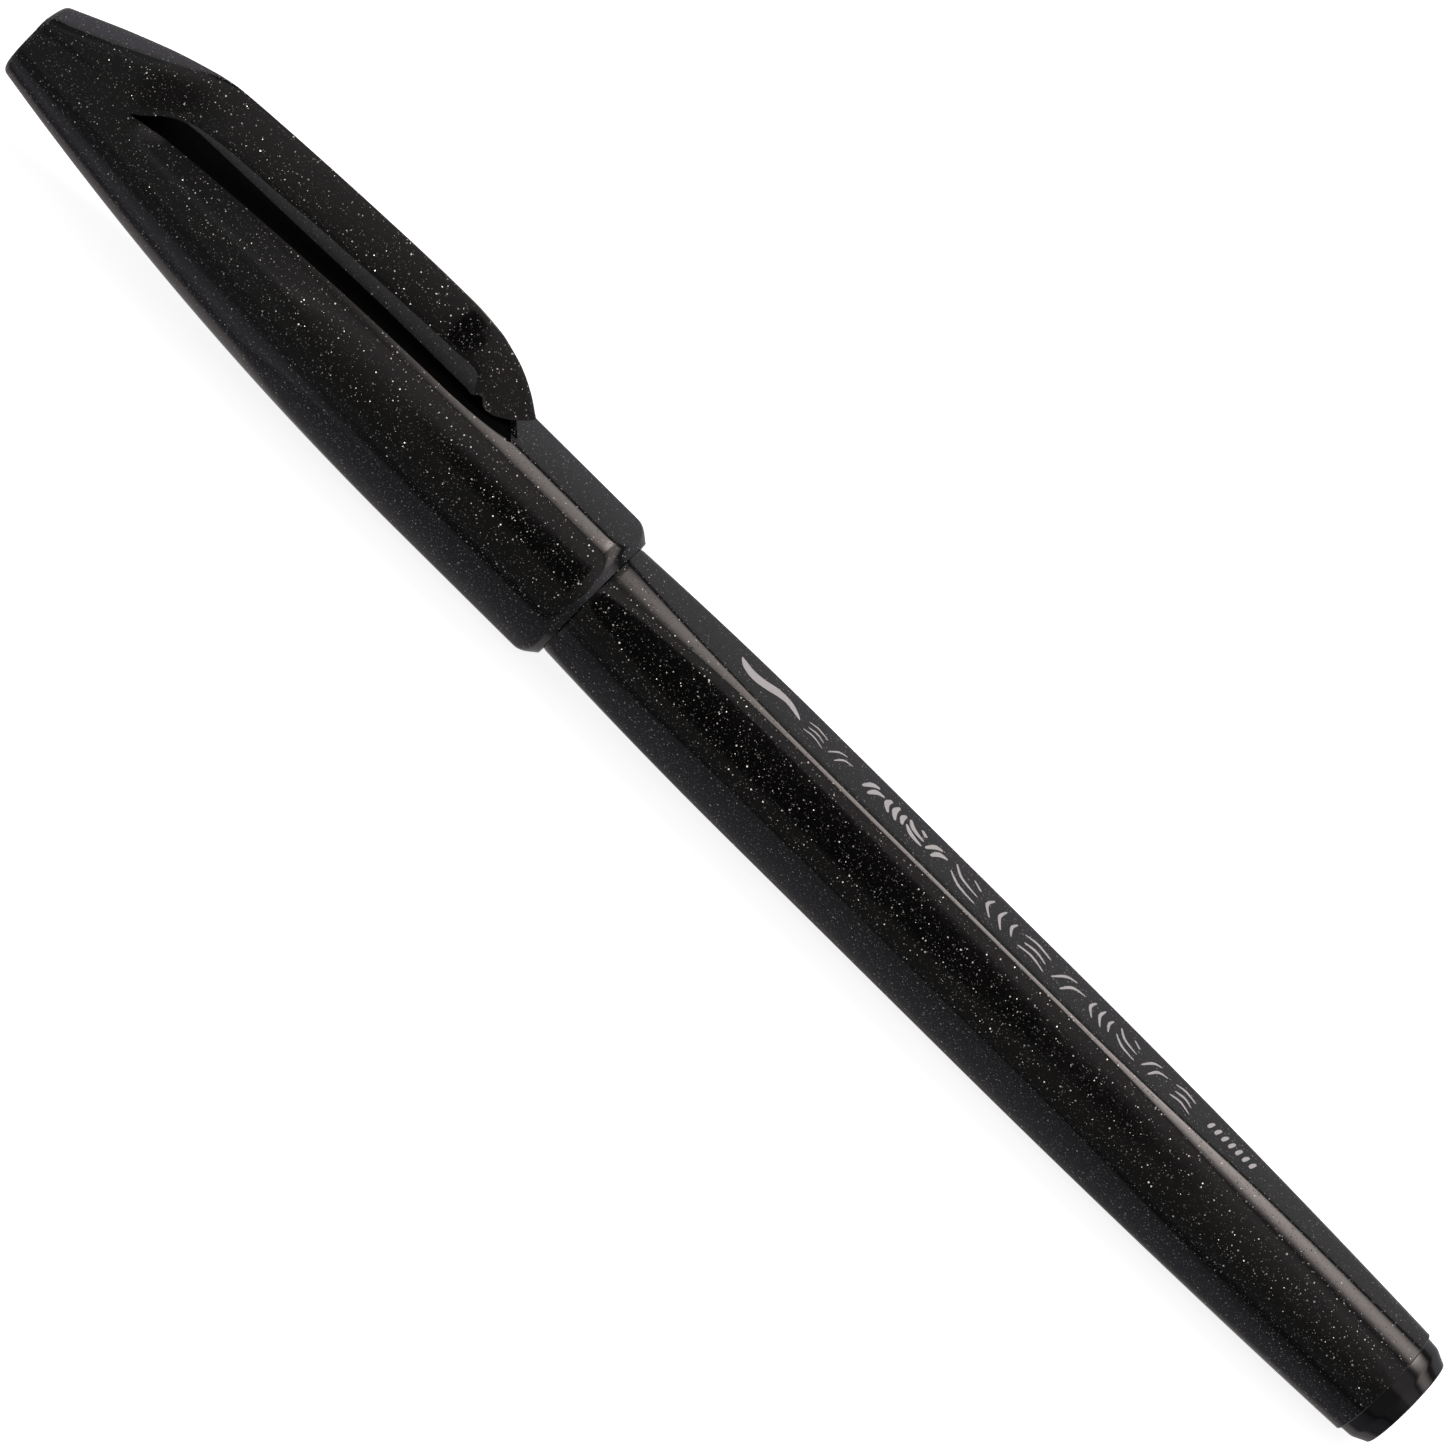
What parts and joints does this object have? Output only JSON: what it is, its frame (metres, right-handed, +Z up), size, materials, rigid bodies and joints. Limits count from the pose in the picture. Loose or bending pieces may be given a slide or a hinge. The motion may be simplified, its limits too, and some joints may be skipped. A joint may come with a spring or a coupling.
{
  "type": "calligraphy marker",
  "caption": "Capped calligraphy marker with a tapered cap, a roof-shaped spring clip, a six-sided barrel, a tail plug and a brush nib fed by a fibre reservoir.",
  "frame": {"origin": "centre of the bounding box's base: under the middle of the capped marker, at the height of the cap's lowest flat", "axes": "+X along the marker from the cap's crown to the tail, +Z up through the clip, +Y across"},
  "size_m": [0.138, 0.0126, 0.0161],
  "materials": {
    "glitter_shell": "satin black moulded plastic with fine silver glitter flakes in it",
    "liner": "milky soft plastic",
    "grip": "glossy black plastic",
    "nib": "ink-soaked felt",
    "fibre_core": "ink-soaked bundled fibre",
    "film": "thin clear film",
    "plug": "polished black plastic",
    "print": "pad-printed light grey ink"
  },
  "bodies": {
    "barrel": {"barrel": "glitter_shell", "front_section": "grip", "brush_nib": "nib", "ink_reservoir": "fibre_core", "reservoir_film": "film", "tail_plug": "plug"},
    "cap": {"cap_shell": "glitter_shell", "inner_cap": "liner"},
    "clip": {"pocket_clip": "glitter_shell"}
  },
  "joints": [
    {"name": "cap_pull", "type": "slide", "parent": "barrel", "child": "cap", "axis": [-1, 0, 0], "range_m": [0, 0.065]},
    {"name": "clip_flex", "type": "hinge", "parent": "cap", "child": "clip", "pos_m": [-0.0565, 0, 0.01501], "axis": [0, -1, 0], "range_deg": [0, 3], "stiffness_Nm_per_rad": 4}
  ]
}
